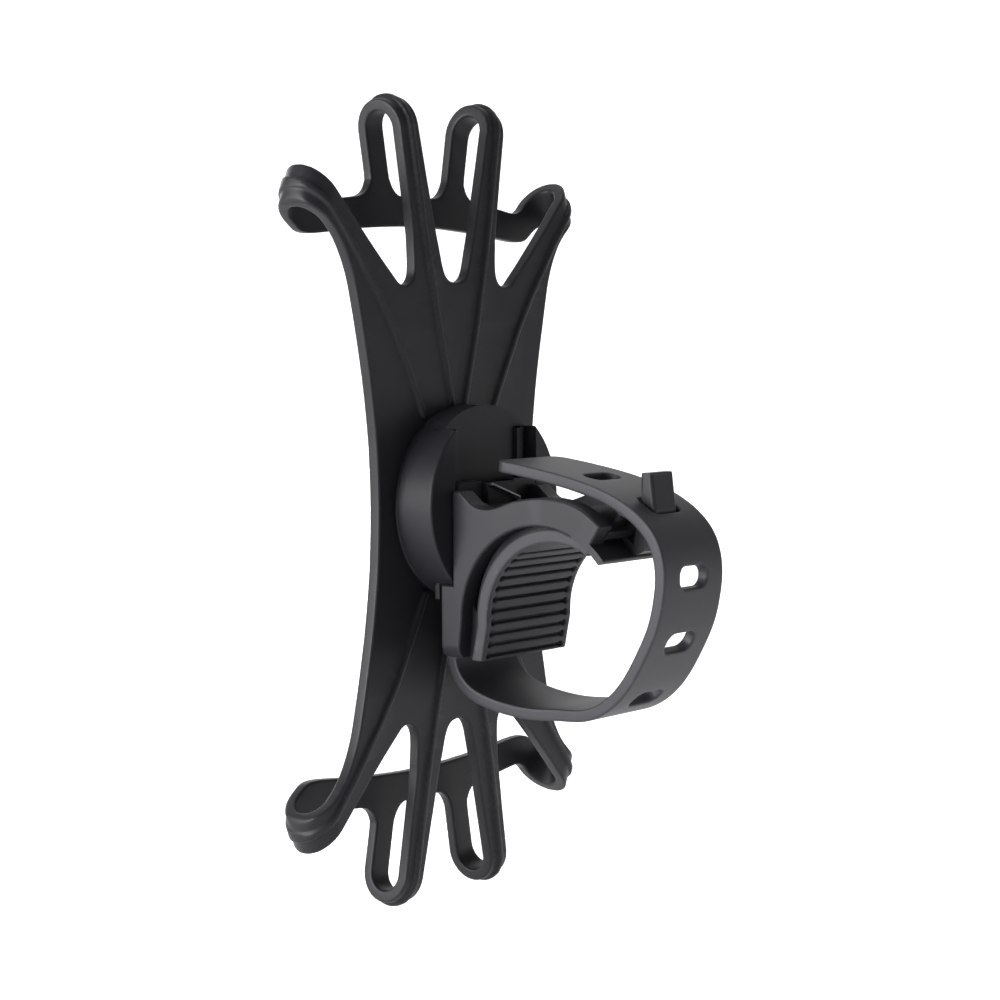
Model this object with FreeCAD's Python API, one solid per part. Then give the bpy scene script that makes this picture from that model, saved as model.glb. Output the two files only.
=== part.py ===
import FreeCAD, Part
import math
import os

from FreeCAD import Vector as V

# Phone handlebar mount: an elastic phone cradle on a swivelling hub that slides on to a saddle,
# which a stretch strap holds on a handlebar.
#
# Working frame while modelling: X to the right as the rider sees the phone, Z up, +Y away from the
# rider. Zero is the middle of the cradle on the back face of its sheet. At the end every piece is
# moved so that the origin is the handlebar's axis, in the middle of the clamp. Millimetres.

# ---- handlebar clamp ----
BAR_Y, BAR_Z = 33.2, -21.3      # handlebar axis
PAD_RI = 15.9                   # bore of the pad
PAD_RO = 18.4
PAD_HALF = 13.2                 # half length of the pad along the bar
PAD_A0, PAD_A1 = 183.0, 60.0    # angles where the pad's arc starts (front) and ends (over the bar)

# ---- elastic cradle ----
SHEET_T = 2.5                    # thickness of the cradle's rubber
SHEET_Y = -0.9                   # back face of its sheet, in front of the hub's seam
LOOP_D = 12.8                   # outside depth of the loops that go round the phone's edge
BOSS_R = 18.6                    # raised ring round the flange, against the hub
LOOP_RO = (LOOP_D + SHEET_Y) / 2
LOOP_RI = LOOP_RO - 2.2
HALF_W = 39.6                   # half of the overall width
FINGER_TOP = 79.8               # height of the finger loops above the hub's axis
FINGER_W = 5.3
FINGER_LEAN = 9.7               # degrees
CORNER_LEAN = 64.2             # degrees from upright
CORNER_W = 7.6
CAP_R = 10.1
FLANGE_R = 13.3

# ---- hub ----
HUB_R = 19.5
HUB_Y0, HUB_Y1, HUB_Y2 = 0.3, 6.0, 9.0   # front face, back face, back of the two side cheeks
CHEEK_X = 12.5                  # inner side of the cheeks
SLOT_X0, SLOT_X1, SLOT_X2 = 8.8, 11.1, 12.6   # rail slot: mouth and undercut
SLOT_Y0, SLOT_Y1 = 3.3, 4.9
SLOT_TOP = 15.0
SPINDLE_R = 2.0

# ---- rail plate and saddle ----
PLATE_Y0, PLATE_Y1 = 6.3, 9.3
PLATE_HALF = 12.2
PLATE_BOTTOM, PLATE_TOP = -29.2, 4.8
SADDLE_HALF = 13.9
WALL_IN = 10.0                  # inner side of the saddle's two side walls
WALL_ARC = (30.3, -21.3, 18.8)  # arc of the walls' lower edge: centre Y, Z and radius

# ---- strap ----
STRAP_HALF = 9.5
STRAP_T = 2.3
TABLE = []


def put(name, shape):
    if isinstance(shape, (list, tuple)):
        shape = Part.makeCompound(list(shape))
    TABLE.append((name, shape))


def prism_xz(pts, y0, y1):
    w = Part.makePolygon([V(x, y0, z) for x, z in pts] + [V(pts[0][0], y0, pts[0][1])])
    return Part.Face(w).extrude(V(0, y1 - y0, 0))


def prism_yz(pts, x0, x1):
    w = Part.makePolygon([V(x0, y, z) for y, z in pts] + [V(x0, pts[0][0], pts[0][1])])
    return Part.Face(w).extrude(V(x1 - x0, 0, 0))


def box(x0, x1, y0, y1, z0, z1):
    return Part.makeBox(x1 - x0, y1 - y0, z1 - z0, V(x0, y0, z0))


def cyl_y(r, y0, y1, x=0.0, z=0.0):
    return Part.makeCylinder(r, y1 - y0, V(x, y0, z), V(0, 1, 0))


def cyl_x(r, x0, x1, y, z):
    return Part.makeCylinder(r, x1 - x0, V(x0, y, z), V(1, 0, 0))


def cyl_z(r, z0, z1, x, y):
    return Part.makeCylinder(r, z1 - z0, V(x, y, z0), V(0, 0, 1))


def fuse(parts):
    s = parts[0].multiFuse(parts[1:]) if len(parts) > 1 else parts[0]
    return s.removeSplitter()


def mirror_x(s):
    return s.mirror(V(0, 0, 0), V(1, 0, 0))


def mirror_z(s):
    return s.mirror(V(0, 0, 0), V(0, 0, 1))


def round_edges(s, radius, pick):
    """Fillet the edges that pick(edge) names; edges that can't take the radius stay sharp."""
    edges = [e for e in s.Edges if pick(e)]
    if not edges:
        return s
    try:
        r = s.makeFillet(radius, edges)
        if r.isValid() and r.Solids:
            return r
    except Exception:
        pass
    for e in edges:
        try:
            hit = [k for k in s.Edges if k.CenterOfMass.distanceToPoint(e.CenterOfMass) < 1e-4]
            r = s.makeFillet(radius, hit)
            if r.isValid() and r.Solids:
                s = r
        except Exception:
            continue
    return s


def along(e, axis, tol=1e-6):
    if len(e.Vertexes) != 2 or e.Curve.TypeId != "Part::GeomLine":
        return False
    d = e.Vertexes[1].Point - e.Vertexes[0].Point
    d.normalize()
    return abs(abs(d.dot(axis)) - 1) < tol


# ------------------------------------------------------------------ elastic cradle
def loop(nx, nz, cx, cz, width):
    """Half ring that folds an arm over: n is the arm's outward direction, c the middle of its crest."""
    d0 = nx * cx + nz * cz - LOOP_RO
    side = -nz * cx + nx * cz
    ring = Part.makeCylinder(LOOP_RO, width).cut(Part.makeCylinder(LOOP_RI, width))
    ring = ring.common(Part.makeBox(LOOP_RO + 1, 2 * LOOP_RO + 2, width, V(0, -LOOP_RO - 1, 0)))
    turn = FreeCAD.Placement(FreeCAD.Matrix(nx, 0, -nz, 0,
                                            0, 1, 0, 0,
                                            nz, 0, nx, 0,
                                            0, 0, 0, 1))
    ring.Placement = turn.multiply(FreeCAD.Placement(V(d0, SHEET_Y - LOOP_RO, side - width / 2),
                                                     FreeCAD.Rotation()))
    return ring


def strip(nx, nz, cx, cz, width, back):
    """Corners of a flat arm from `back` mm below its crest up to where the fold starts."""
    tx, tz = -nz, nx
    ax, az = cx - nx * LOOP_RO, cz - nz * LOOP_RO
    bx, bz = cx - nx * back, cz - nz * back
    h = width / 2
    return [(ax + tx * h, az + tz * h), (ax - tx * h, az - tz * h),
            (bx - tx * h, bz - tz * h), (bx + tx * h, bz + tz * h)]


fa = math.radians(FINGER_LEAN)
FN = (math.sin(fa), math.cos(fa))
FC = (14.1, FINGER_TOP)
ca = math.radians(CORNER_LEAN)
CN = (math.sin(ca), math.cos(ca))
CC = (39.4, 61.0)

f_flat = strip(FN[0], FN[1], FC[0], FC[1], FINGER_W, 22.0)
c_flat = strip(CN[0], CN[1], CC[0], CC[1], CORNER_W, 20.0)

# one quarter of the back sheet, with its two arms up to where they fold
quarter_back = [
    (0, -1.0), (23.5, -1.0), (23.6, 6.8), (24.1, 14.2), (25.65, 25.4), (28.4, 39.05), (30.0, 45.2),
    (32.3, 50.6), (c_flat[1][0], c_flat[1][1]), (c_flat[0][0], c_flat[0][1]), (26.6, 53.6),
    (18.0, 44.6), (16.6, 43.3), (15.1, 42.9), (13.6, 43.3), (12.5, 44.6), (12.2, 46.5),
    (12.6, 54.0), (f_flat[1][0], f_flat[1][1]), (f_flat[0][0], f_flat[0][1]),
    (6.0, 54.4), (3.6, 45.9), (2.6, 44.4), (1.3, 43.8), (0, 43.7),
]
# one quarter of the bar that joins the arms in front of the phone
quarter_front = [
    (0, 54.7), (13.2, 54.2), (19.4, 53.7), (26.6, 53.0), (31.0, 52.6), (34.6, 53.4),
    (c_flat[1][0], c_flat[1][1]), (c_flat[0][0], c_flat[0][1]), (29.2, 59.2), (25.7, 59.6),
    (20.7, 60.2), (16.6, 61.0), (15.6, 62.6), (f_flat[1][0], f_flat[1][1]),
    (f_flat[0][0], f_flat[0][1]), (8.6, 62.6), (7.2, 61.1), (5.0, 60.7), (0, 60.7),
]
back = prism_xz(quarter_back, SHEET_Y - SHEET_T, SHEET_Y)
front = prism_xz(quarter_front, -LOOP_D, -LOOP_D + 2.2)
quarter = [back, front, loop(FN[0], FN[1], FC[0], FC[1], FINGER_W),
           loop(CN[0], CN[1], CC[0], CC[1], CORNER_W)]
q = fuse(quarter)
half = fuse([q, mirror_x(q)])
cradle = fuse([half, mirror_z(half)])
cradle = cradle.common(box(-HALF_W, HALF_W, -LOOP_D - 1, 1, -90, 90))
cradle = cradle.fuse(cyl_y(BOSS_R, SHEET_Y - 0.5, 0)).removeSplitter()
cradle = cradle.cut(cyl_y(CAP_R + 0.1, -9, 1))
cradle = cradle.cut(cyl_y(FLANGE_R + 0.02, -1.2, 1))
put("silicone_cradle", cradle)

# smooth round cap in the middle of the cradle's face
CAP_Y = SHEET_Y - SHEET_T
cap = cyl_y(CAP_R, CAP_Y, -1.25)
cap = round_edges(cap, 0.25, lambda e: abs(e.CenterOfMass.y - CAP_Y) < 1e-6)
put("front_cap", cap)

# rigid disc moulded into the back of the cradle; its boss turns in the hub
flange = cyl_y(FLANGE_R, -1.2, 0.0).fuse(cyl_y(8.0, 0.0, 2.4))
flange = flange.cut(cyl_y(4.0, -2, 0.4)).cut(cyl_y(SPINDLE_R + 0.06, -2, 3))
flange = flange.removeSplitter()
put("swivel_flange", flange)

# ------------------------------------------------------------------ hub
body = cyl_y(HUB_R, HUB_Y0, HUB_Y1)
body = body.cut(cyl_y(8.06, -1, 2.9))                       # seat for the boss
body = body.cut(cyl_y(3.2, 0, 5.2))                         # seat for the threaded insert
ringcut = cyl_y(12.3, 0, 1.5).cut(cyl_y(10.7, 0, 1.5))      # groove for the friction ring
body = body.cut(ringcut)
cheek = cyl_y(HUB_R + 0.1, HUB_Y1 - 0.4, HUB_Y2)
cheek = cheek.common(box(CHEEK_X, 30, 0, 20, -30, SLOT_TOP))
cheek = round_edges(cheek, 0.5, lambda e: abs(e.CenterOfMass.y - HUB_Y2) < 1e-6)
body = fuse([body, cheek, mirror_x(cheek)])
slot = fuse([box(SLOT_X0, SLOT_X1, SLOT_Y0, 12, -30, SLOT_TOP),
             box(SLOT_X0, SLOT_X2, SLOT_Y0, SLOT_Y1, -30, SLOT_TOP)])
body = body.cut(slot).cut(mirror_x(slot))
# notch for the latch in the tongue between the slots
body = body.cut(box(-3.4, 3.4, 4.7, 7, -9.0, -6.4))
body = round_edges(body, 0.35, lambda e: abs(e.CenterOfMass.y - HUB_Y0) < 1e-6 and e.Length > 100)
put("hub_housing", body)

put("threaded_insert", cyl_y(3.2, 2.9, 5.2).cut(cyl_y(SPINDLE_R, 2, 6)))

head = cyl_y(3.7, -1.15, 0.35)
head = round_edges(head, 0.3, lambda e: abs(e.CenterOfMass.y + 1.15) < 1e-6)
socket = prism_xz([(1.35 * math.cos(math.radians(60 * k)), 1.35 * math.sin(math.radians(60 * k)))
                   for k in range(6)], -2, -0.25)
spindle = fuse([head, cyl_y(SPINDLE_R, 0.2, 5.1)]).cut(socket)
put("spindle_screw", spindle)

put("wave_washer", cyl_y(6.4, 2.5, 2.88).cut(cyl_y(2.3, 2, 3)))

put("friction_ring", Part.makeTorus(11.5, 0.62, V(0, 0.87, 0), V(0, 1, 0)))

# ------------------------------------------------------------------ rail plate
plate = box(-PLATE_HALF, PLATE_HALF, PLATE_Y0, PLATE_Y1, PLATE_BOTTOM, PLATE_TOP)
plate = round_edges(plate, 2.2, lambda e: along(e, V(0, 1, 0)) and e.CenterOfMass.z > 0)
# open-topped window for the release lever, and the pocket of the latch's leaf
plate = plate.cut(box(-4.9, 4.9, 5, 12, -10.0, 10.0))
plate = plate.cut(box(-3.2, 3.2, 8.1, 12, -21.5, -9.0))
# lugs that hold the lever's pin
lug = prism_yz([(8.0, -4.2), (10.4, -4.2), (11.9, -2.6), (11.9, -0.4), (10.8, 0.6), (8.0, 0.6)], 5.1, 7.0)
rail = fuse([box(SLOT_X0 + 0.3, SLOT_X1 - 0.3, SLOT_Y1 - 0.5, PLATE_Y0 + 0.6, -18.0, SLOT_TOP - 0.4),
             box(SLOT_X0 + 0.3, SLOT_X2 - 0.3, SLOT_Y0 + 0.3, SLOT_Y1 - 0.3, -18.0, SLOT_TOP - 0.4)])
plate = fuse([plate, rail, mirror_x(rail), lug, mirror_x(lug)])
PIN_Y, PIN_Z, PIN_R = 9.9, -1.5, 0.9
plate = plate.cut(cyl_x(PIN_R, -8, 8, PIN_Y, PIN_Z))
rail_screw_spots = [(-7.4, -19.6, 12.2), (7.4, -19.6, 12.2), (-7.4, -8.4, 13.6), (7.4, -8.4, 13.6)]
for x, z, end in rail_screw_spots:
    plate = plate.cut(cyl_y(1.25, 5, 12, x, z)).cut(cyl_y(2.3, 5, 7.5, x, z))
anchor_spots = [(-5.2, -25.8), (5.2, -25.8)]
for x, z in anchor_spots:
    plate = plate.cut(cyl_y(1.0, 5, 8.7, x, z))
plate = plate.cut(cyl_y(0.8, 6.9, 9, 0, -17.5))
put("rail_plate", plate)


def screw_y(x, z, y_head, y_end, r_head, h_head, r_shank, r_socket=0.0):
    """Screw along +Y: its head starts at y_head, its point is at y_end."""
    h = cyl_y(r_head, y_head, y_head + h_head, x, z)
    h = round_edges(h, 0.25, lambda e: abs(e.CenterOfMass.y - y_head) < 1e-6)
    s = fuse([h, cyl_y(r_shank, y_head + h_head - 0.1, y_end, x, z)])
    if r_socket:
        k = prism_xz([(x + r_socket * math.cos(math.radians(60 * i)),
                       z + r_socket * math.sin(math.radians(60 * i))) for i in range(6)],
                     y_head - 1, y_head + h_head * 0.6)
        s = s.cut(k)
    return s


put("rail_screws", [screw_y(x, z, 6.45, end, 2.2, 1.05, 1.25, 1.0) for x, z, end in rail_screw_spots])

# ------------------------------------------------------------------ latch and release lever
leaf = fuse([box(-2.8, 2.8, 8.1, 8.5, -20.5, -4.6),
             prism_yz([(5.2, -8.5), (5.2, -7.9), (6.4, -7.1), (8.3, -7.1), (8.3, -8.5)], -2.8, 2.8)])
leaf = leaf.cut(cyl_y(0.8, 7, 10, 0, -17.5))
put("latch_leaf", leaf)
put("leaf_screw", fuse([cyl_y(1.6, 8.5, 9.2, 0, -17.5), cyl_y(0.8, 6.9, 8.6, 0, -17.5)]))

tab = prism_yz([(8.9, -1.0), (8.9, 4.0), (9.3, 4.5), (9.9, 4.5), (10.3, 4.0), (10.6, -1.0)], -4.3, 4.3)
tab = tab.cut(box(-5, -3.2, 5, 15, -5, 1.2))
hub = cyl_x(1.9, -3.2, 4.3, PIN_Y, PIN_Z)
arm = prism_yz([(8.4, -0.6), (8.3, -2.6), (6.8, -5.0), (6.8, -6.1), (7.6, -6.1), (9.3, -4.9), (11.2, -2.6),
                (11.2, -1.0)], 3.2, 4.3)
arm2 = arm.copy()
arm2.translate(V(-6.4, 0, 0))
cross = box(-3.2, 4.3, 6.8, 7.6, -6.1, -5.1)
lever = fuse([tab, hub, arm, arm2, cross]).cut(cyl_x(PIN_R + 0.05, -8, 8, PIN_Y, PIN_Z))
lever = lever.cut(box(-2.9, 2.9, 7.9, 9.2, -8, -2.9)).cut(cyl_y(0.45, 5, 15, 3.4, 4.1)).cut(box(2.95, 3.85, 5, 15, 4.1, 6))
put("release_lever", lever)
put("lever_pin", cyl_x(PIN_R, -7.0, 7.0, PIN_Y, PIN_Z))
coil = cyl_x(1.75, -4.8, -3.5, PIN_Y, PIN_Z).cut(cyl_x(1.2, -6, -2, PIN_Y, PIN_Z))
leg_0, leg_a, leg_b = V(-4.15, 11.35, PIN_Z), V(-4.15, 11.3, 1.3), V(3.4, 10.75, 4.1)
leg = fuse([Part.makeCylinder(0.32, (leg_a - leg_0).Length, leg_0, leg_a - leg_0),
            Part.makeSphere(0.32, leg_a),
            Part.makeCylinder(0.32, (leg_b - leg_a).Length, leg_a, leg_b - leg_a),
            Part.makeSphere(0.32, leg_b)])
stub = cyl_z(0.32, PIN_Z - 3.4, PIN_Z, -4.2, PIN_Y - 1.45)
hook_end = cyl_y(0.32, 9.0, leg_b.y, leg_b.x, leg_b.z)
put("lever_spring", fuse([coil, leg, stub, hook_end]))

# ------------------------------------------------------------------ saddle


def arc_edge(cy, cz, r, a0, a1, x):
    """Arc in the YZ plane; angles in degrees from +Y towards +Z."""
    p = [V(x, cy + r * math.cos(math.radians(a)), cz + r * math.sin(math.radians(a)))
         for a in (a0, (a0 + a1) / 2, a1)]
    return Part.Arc(*p).toShape()


def outline(edges, dx):
    return Part.Face(Part.Wire(Part.__sortEdges__(edges))).extrude(V(dx, 0, 0))


def spline(pts, x):
    c = Part.BSplineCurve()
    c.interpolate([V(x, y, z) for y, z in pts])
    return c.toShape()


def line(a, b, x):
    return Part.makeLine(V(x, a[0], a[1]), V(x, b[0], b[1]))


def at(cy, cz, r, a):
    return (cy + r * math.cos(math.radians(a)), cz + r * math.sin(math.radians(a)))


def band(cy, cz, r0, r1, a0, a1, x0, x1):
    """Curved strip between two radii and two angles."""
    return outline([arc_edge(cy, cz, r0, a0, a1, x0), line(at(cy, cz, r0, a1), at(cy, cz, r1, a1), x0),
                    arc_edge(cy, cz, r1, a1, a0, x0), line(at(cy, cz, r1, a0), at(cy, cz, r0, a0), x0)],
                   x1 - x0)


WY, WZ, WR = WALL_ARC
TIP_A = 52.3                     # angle of the end face on the walls' arc
LIP_A = 41.0                     # angle where the lip under the end face stops
LIP_R, GAP_R, BLOCK_R = WR + 1.4, WR + 2.5, WR + 4.3
PAD_TURN = 86.6                  # where the pad's outside changes from its own arc to the walls'

crest = [(11.2, 3.3), (12.6, 2.2), (14.3, 0.95), (16.9, 0.3), (19.7, 0.6), (23.0, 1.7), (27.3, 2.6),
         (31.6, 2.9), (36.0, 2.5), (39.7, 1.4), (42.4, -0.1), (44.8, -1.9)]
wall_back = WY - WR
wall = outline([
    line((PLATE_Y0, PLATE_BOTTOM), (PLATE_Y0, 3.1), WALL_IN),
    line((PLATE_Y0, 3.1), (9.9, 3.4), WALL_IN),
    line((9.9, 3.4), crest[0], WALL_IN),
    spline(crest, WALL_IN),
    line(crest[-1], at(WY, WZ, WR, TIP_A), WALL_IN),
    arc_edge(WY, WZ, WR, TIP_A, 180, WALL_IN),
    line((wall_back, WZ), (wall_back - 0.9, PLATE_BOTTOM), WALL_IN),
    line((wall_back - 0.9, PLATE_BOTTOM), (PLATE_Y0, PLATE_BOTTOM), WALL_IN)], SADDLE_HALF - WALL_IN)
wall = wall.cut(cyl_y(HUB_R + 0.45, -1, PLATE_Y1))            # room for the round hub
wall = wall.cut(box(0, PLATE_HALF, 0, PLATE_Y1, -40, 10))
wall = round_edges(wall, 2.6, lambda e: along(e, V(0, 1, 0)) and e.CenterOfMass.z < -28
                   and e.CenterOfMass.x > 13)
wall = round_edges(wall, 0.5, lambda e: e.CenterOfMass.x > SADDLE_HALF - 0.01
                   and e.CenterOfMass.z > -25)
floor_a = band(BAR_Y, BAR_Z, PAD_RO, PAD_RO + 2.2, PAD_TURN, 183, -WALL_IN - 0.5, WALL_IN + 0.5)
floor_b = band(WY, WZ, WR, LIP_R, 65, 93, -WALL_IN - 0.5, WALL_IN + 0.5)
lip = band(WY, WZ, WR, LIP_R, LIP_A, 66, -SADDLE_HALF, SADDLE_HALF)
lip = round_edges(lip, 0.4, lambda e: along(e, V(1, 0, 0)) and e.CenterOfMass.y > 43)
block = band(WY, WZ, GAP_R, BLOCK_R, TIP_A, 76, -WALL_IN - 0.5, WALL_IN + 0.5)
block_back = band(WY, WZ, WR + 0.2, BLOCK_R, 72, 76, -WALL_IN - 0.5, WALL_IN + 0.5)
web = prism_yz([(PLATE_Y1, PLATE_BOTTOM), (PLATE_Y1, -5.0), (11.3, -5.0), (11.3, -18.0), (12.7, -20.5),
                (14.83, -22.26), (13.3, PLATE_BOTTOM)], -WALL_IN - 0.5, WALL_IN + 0.5)
bosses = [cyl_y(2.4, 11.0, 14.4, x, -8.4) for x in (-7.4, 7.4)]
saddle = fuse([wall, mirror_x(wall), floor_a, floor_b, lip, block, block_back, web] + bosses)
saddle = saddle.cut(box(-4.8, 4.8, 0, 11.5, -12.0, 0))        # the lever's arm swings in here
for x, z, end in rail_screw_spots:
    saddle = saddle.cut(cyl_y(1.25, 8, end, x, z))
# the hook's foot slides into the gap between the block and the lip
hook_screw_a = 64.0
ax_d = V(0, math.cos(math.radians(hook_screw_a)), math.sin(math.radians(hook_screw_a)))
ax_o = V(0, WY, WZ)
shank = Part.makeCylinder(1.1, BLOCK_R - WR - 0.5, ax_o + ax_d * (WR + 0.5), ax_d)
saddle = saddle.cut(shank)
put("saddle", saddle)
screw_head = Part.makeCylinder(2.0, 1.0, ax_o + ax_d * BLOCK_R, ax_d)
screw_cross = Part.makeBox(2.8, 0.6, 0.7, V(-1.4, -0.3, 0))
screw_cross.Placement = FreeCAD.Placement(ax_o + ax_d * (BLOCK_R + 0.5),
                                          FreeCAD.Rotation(V(0, 0, 1), ax_d))
put("hook_screw", fuse([shank, screw_head]).cut(screw_cross))

hook_foot = band(WY, WZ, LIP_R + 0.03, GAP_R - 0.03, LIP_A + 1.0, 71.5, -3.6, 3.6)
riser = prism_yz([at(WY, WZ, LIP_R + 0.03, LIP_A + 1.0), (47.4, -6.9), (48.9, -4.2), (49.65, -1.0), (49.72, 1.0),
                  (48.95, 7.2), (48.45, 7.7), (46.9, 7.7), (46.4, 7.2), (46.35, 1.0), (45.9, -1.8),
                  (45.0, -4.5), at(WY, WZ, GAP_R - 0.03, 46.5)], -3.6, 3.6)
hook = fuse([hook_foot, riser])
hook = round_edges(hook, 0.7, lambda e: e.CenterOfMass.z > 1.5 and e.Length > 5 and along(e, V(0, 0, 1), 0.02))
hook = hook.cut(shank)
put("strap_hook", hook)

# ------------------------------------------------------------------ pad
pad_end = 60.0
# where the ray at pad_end from the bar's axis meets the walls' arc, less a hair
ux, uz = math.cos(math.radians(pad_end)), math.sin(math.radians(pad_end))
dy = BAR_Y - WY
t_end = -dy * ux + math.sqrt((dy * ux) ** 2 - dy * dy + (WR - 0.03) ** 2)
p_end = (BAR_Y + t_end * ux, BAR_Z + t_end * uz)
a_end = math.degrees(math.atan2(p_end[1] - WZ, p_end[0] - WY))
p_turn = at(BAR_Y, BAR_Z, PAD_RO - 0.02, PAD_TURN)
a_turn = math.degrees(math.atan2(p_turn[1] - WZ, p_turn[0] - WY))
r_turn = math.hypot(p_turn[0] - WY, p_turn[1] - WZ)
mid_a = (a_end + a_turn) / 2
mid_p = at(WY, WZ, (r_turn + WR - 0.03) / 2, mid_a)
outer_b = Part.Arc(V(-PAD_HALF, *p_end), V(-PAD_HALF, *mid_p), V(-PAD_HALF, *p_turn)).toShape()
po, pi = at(BAR_Y, BAR_Z, PAD_RO - 0.02, 183), at(BAR_Y, BAR_Z, PAD_RI, 183)
low_o, low_i = (13.35, PLATE_BOTTOM), (15.9, PLATE_BOTTOM)
pad = outline([
    arc_edge(BAR_Y, BAR_Z, PAD_RI, pad_end, 183, -PAD_HALF),
    line(pi, low_i, -PAD_HALF), line(low_i, low_o, -PAD_HALF), line(low_o, po, -PAD_HALF),
    arc_edge(BAR_Y, BAR_Z, PAD_RO - 0.02, 183, PAD_TURN, -PAD_HALF),
    outer_b,
    line(p_end, at(BAR_Y, BAR_Z, PAD_RI, pad_end), -PAD_HALF)], 2 * PAD_HALF)
put("rubber_pad", pad)

# ------------------------------------------------------------------ strap
# Outside line of the strap, from its root in front of the rail plate round to its free tail.
STRAP_OUT = [(3.9, -22.3), (3.9, -25.5), (3.9, -28.6), (4.35, -31.6), (5.7, -34.3), (8.6, -36.9),
             (13.2, -38.7), (18.9, -39.7), (25.7, -40.0), (31.4, -39.6), (37.5, -38.1), (42.8, -35.4),
             (47.6, -31.5), (51.7, -26.2), (54.3, -20.8), (55.7, -15.3), (56.1, -10.8), (55.6, -7.1),
             (54.3, -3.9), (51.9, -1.0), (48.4, 1.6), (44.2, 3.7), (38.9, 5.5), (32.5, 7.0),
             (25.9, 8.15), (19.2, 9.1), (16.4, 9.4)]
# the strap stays clear of the largest bar that the clamp takes
CLEAR_R = PAD_RI + STRAP_T + 0.12
for k, (y, z) in enumerate(STRAP_OUT):
    r = math.hypot(y - BAR_Y, z - BAR_Z)
    if r < CLEAR_R:
        STRAP_OUT[k] = (BAR_Y + (y - BAR_Y) * CLEAR_R / r, BAR_Z + (z - BAR_Z) * CLEAR_R / r)
guide = Part.BSplineCurve()
guide.interpolate([V(0, y, z) for y, z in STRAP_OUT])
GL = guide.length()


def strap_at(s, depth):
    """Point `depth` mm inside the strap's outside line, s mm along it, and the direction along it."""
    u = guide.parameterAtDistance(s, guide.FirstParameter)
    p, d = guide.value(u), guide.tangent(u)[0]
    d.normalize()
    n = V(0, -d.z, d.y)
    return p + n * depth, d


def strap_piece(s0, s1):
    n = max(4, int((s1 - s0) / 2.2))
    ss = [s0 + (s1 - s0) * k / n for k in range(n + 1)]
    o = [strap_at(s, 0)[0] for s in ss]
    i = [strap_at(s, STRAP_T)[0] for s in ss]
    co, ci = Part.BSplineCurve(), Part.BSplineCurve()
    co.interpolate(o)
    ci.interpolate(i)
    w = Part.Wire(Part.__sortEdges__([co.toShape(), Part.makeLine(o[-1], i[-1]), ci.toShape(),
                                      Part.makeLine(i[0], o[0])]))
    f = Part.Face(w)
    f.translate(V(-STRAP_HALF, 0, 0))
    return f.extrude(V(2 * STRAP_HALF, 0, 0))


def nearest(y, z):
    best = min((strap_at(GL * k / 800, 0)[0].distanceToPoint(V(0, y, z)), GL * k / 800) for k in range(801))
    return best[1]


S_OPEN = nearest(5.9, -34.6)      # strap bends here as the loop is opened
S_BEND = nearest(50.3, -29.0)
S_LIFT = nearest(55.4, -5.0)      # and here as the tail is lifted off the hook
GAP = 0.03
root = strap_piece(0, S_OPEN - GAP)
lower = strap_piece(S_OPEN + GAP, S_BEND - GAP)
fore = strap_piece(S_BEND + GAP, S_LIFT - GAP)
tail = strap_piece(S_LIFT + GAP, GL - 0.01)


def slot_cutter(s, half_l=2.1, half_w=4.3, r=1.5):
    """Rounded hole through the strap, s mm along its outside line."""
    p, d = strap_at(s, STRAP_T / 2)
    c = Part.makeBox(2 * half_w, 2 * half_l, 8, V(-half_w, -half_l, -4))
    c = c.makeFillet(r, [e for e in c.Edges if along(e, V(0, 0, 1))])
    c.Placement = FreeCAD.Placement(p, FreeCAD.Rotation(V(0, 1, 0), d))
    return c


slots_fore = [slot_cutter(nearest(56.8, -11.4)), slot_cutter(nearest(53.4, -24.2))]
slots_low = [slot_cutter(nearest(45.0, -34.5))]
for c in slots_fore:
    fore = fore.cut(c)
for c in slots_low:
    lower = lower.cut(c)
tail = tail.cut(slot_cutter(nearest(34.9, 6.4)))
hole = box(-4.3, 4.3, 45.95, 50.25, -6, 12)
hole = hole.makeFillet(1.2, [e for e in hole.Edges if along(e, V(0, 0, 1))])
tail = tail.cut(hole)
tail = round_edges(tail, 2.0, lambda e: e.CenterOfMass.y < 17.5 and e.Length < 3 and e.CenterOfMass.z > 5
                   and abs(abs(e.CenterOfMass.x) - STRAP_HALF) < 0.01)
root = root.cut(box(-12, 12, 0, 3.91, -29.5, -20)).cut(box(-12.4, 12.4, 6.29, 9, PLATE_BOTTOM - 0.1, -20))
for x, z in anchor_spots:
    root = root.cut(cyl_y(1.0, 0, 9, x, z))
put("strap_root", root)
put("strap_lower", lower)
put("strap_front", fore)
put("strap_tail", tail)

anchor = box(-8.2, 8.2, 2.2, 3.9, -28.2, -23.4)
anchor = round_edges(anchor, 0.9, lambda e: along(e, V(0, 1, 0)))
for x, z in anchor_spots:
    anchor = anchor.cut(cyl_y(1.0, 0, 9, x, z))
put("strap_anchor_bar", anchor)
put("anchor_screws", [screw_y(x, z, 1.4, 8.6, 1.9, 0.8, 1.0) for x, z in anchor_spots])

# ------------------------------------------------------------------ write the pieces
os.makedirs("parts", exist_ok=True)
for name, shape in TABLE:
    s = shape.copy()
    s.translate(V(0, -BAR_Y, -BAR_Z))
    ok = s.isValid()
    s.exportStep("parts/" + name + ".step")
    b = s.BoundBox
    print("%-18s solids %d valid %s vol %.1f  x %.1f..%.1f y %.1f..%.1f z %.1f..%.1f" % (
        name, len(s.Solids), ok, s.Volume, b.XMin, b.XMax, b.YMin, b.YMax, b.ZMin, b.ZMax))
for label, sv in (("open", S_OPEN), ("bend", S_BEND), ("lift", S_LIFT)):
    p = strap_at(sv, STRAP_T / 2)[0]
    print("strap hinge", label, round(p.y - BAR_Y, 2), round(p.z - BAR_Z, 2), "at", round(sv, 1), "of", round(GL, 1))
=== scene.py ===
import math

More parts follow.
